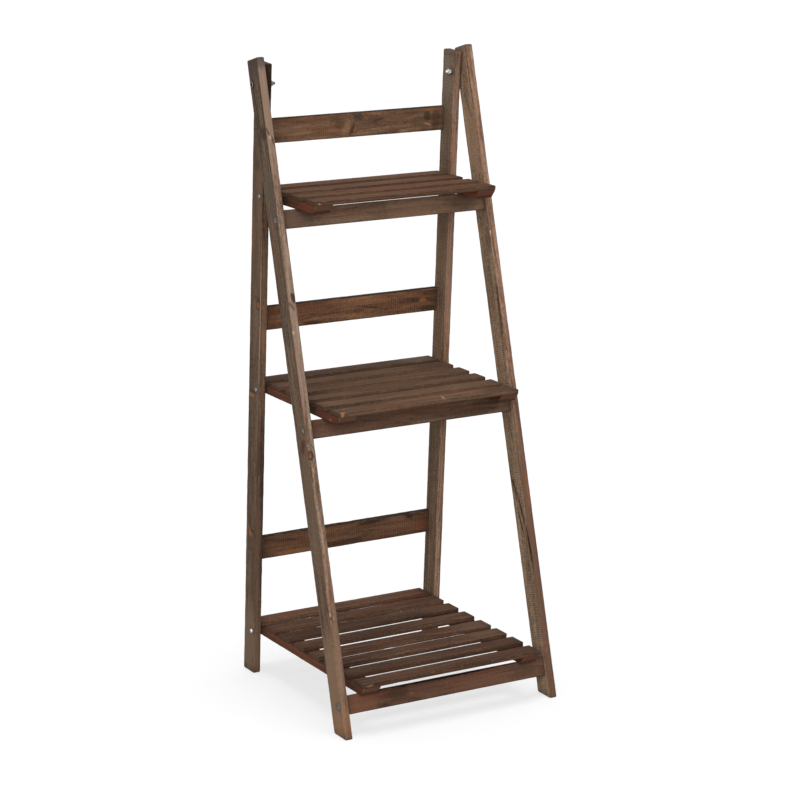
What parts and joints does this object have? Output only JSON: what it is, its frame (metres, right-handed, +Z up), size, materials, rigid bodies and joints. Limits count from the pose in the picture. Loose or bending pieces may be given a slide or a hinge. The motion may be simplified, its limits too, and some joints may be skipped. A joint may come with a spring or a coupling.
{
  "type": "plant ladder stand",
  "caption": "Folding wooden plant stand shaped like a stepladder: two leg frames hinged at the top carry slatted shelves that grow deeper towards the floor",
  "frame": {"origin": "middle of the stand's footprint, on the floor", "axes": "+X to the right seen from the front, +Y to the back, where the upright frame is, +Z up"},
  "size_m": [0.4162, 0.4, 1.08],
  "materials": {
    "leg_wood": "dark stained softwood, weathered",
    "rail_wood": "dark stained softwood, sawn",
    "slat_wood": "dark stained softwood, worn edges",
    "cleat_wood": "reddish dark stained softwood",
    "dowel_wood": "bare hardwood",
    "zinc_steel": "zinc plated"
  },
  "bodies": {
    "rear_frame": {"rear_leg_left": "leg_wood", "rear_leg_right": "leg_wood", "rear_rail_top": "rail_wood", "rear_rail_middle": "rail_wood", "rear_rail_bottom": "rail_wood", "rear_rail_dowels": "dowel_wood", "hinge_bolt_left": "zinc_steel", "hinge_bolt_right": "zinc_steel", "hinge_spacers": "zinc_steel", "hinge_washers": "zinc_steel", "hinge_nuts": "zinc_steel"},
    "front_frame": {"front_leg_left": "leg_wood", "front_leg_right": "leg_wood", "front_rail_top": "rail_wood", "front_rail_middle": "rail_wood", "front_rail_bottom": "rail_wood", "front_rail_screws": "zinc_steel"},
    "top_shelf": {"top_slat_1": "slat_wood", "top_slat_2": "slat_wood", "top_slat_3": "slat_wood", "top_slat_4": "slat_wood", "top_cleat_left": "cleat_wood", "top_cleat_right": "cleat_wood", "top_slat_pins": "zinc_steel", "top_pivot_screws": "zinc_steel", "top_pivot_spacers": "zinc_steel"},
    "middle_shelf": {"middle_slat_1": "slat_wood", "middle_slat_2": "slat_wood", "middle_slat_3": "slat_wood", "middle_slat_4": "slat_wood", "middle_slat_5": "slat_wood", "middle_slat_6": "slat_wood", "middle_cleat_left": "cleat_wood", "middle_cleat_right": "cleat_wood", "middle_slat_pins": "zinc_steel", "middle_pivot_screws": "zinc_steel", "middle_pivot_spacers": "zinc_steel"},
    "bottom_shelf": {"bottom_slat_1": "slat_wood", "bottom_slat_2": "slat_wood", "bottom_slat_3": "slat_wood", "bottom_slat_4": "slat_wood", "bottom_slat_5": "slat_wood", "bottom_slat_6": "slat_wood", "bottom_slat_7": "slat_wood", "bottom_slat_8": "slat_wood", "bottom_cleat_left": "cleat_wood", "bottom_cleat_right": "cleat_wood", "bottom_slat_pins": "zinc_steel", "bottom_pivot_screws": "zinc_steel", "bottom_pivot_spacers": "zinc_steel"}
  },
  "joints": [
    {"name": "fold", "type": "hinge", "parent": "rear_frame", "child": "front_frame", "pos_m": [0, 0.10689, 1.034], "axis": [1, 0, 0], "range_deg": [0, 18.6]},
    {"name": "lift_top", "type": "hinge", "parent": "rear_frame", "child": "top_shelf", "pos_m": [0, 0.12021, 0.84625], "axis": [-1, 0, 0], "range_deg": [0, 86]},
    {"name": "lift_middle", "type": "hinge", "parent": "rear_frame", "child": "middle_shelf", "pos_m": [0, 0.14116, 0.51325], "axis": [-1, 0, 0], "range_deg": [0, 86]},
    {"name": "lift_bottom", "type": "hinge", "parent": "rear_frame", "child": "bottom_shelf", "pos_m": [0, 0.16865, 0.07625], "axis": [-1, 0, 0], "range_deg": [0, 86]}
  ]
}
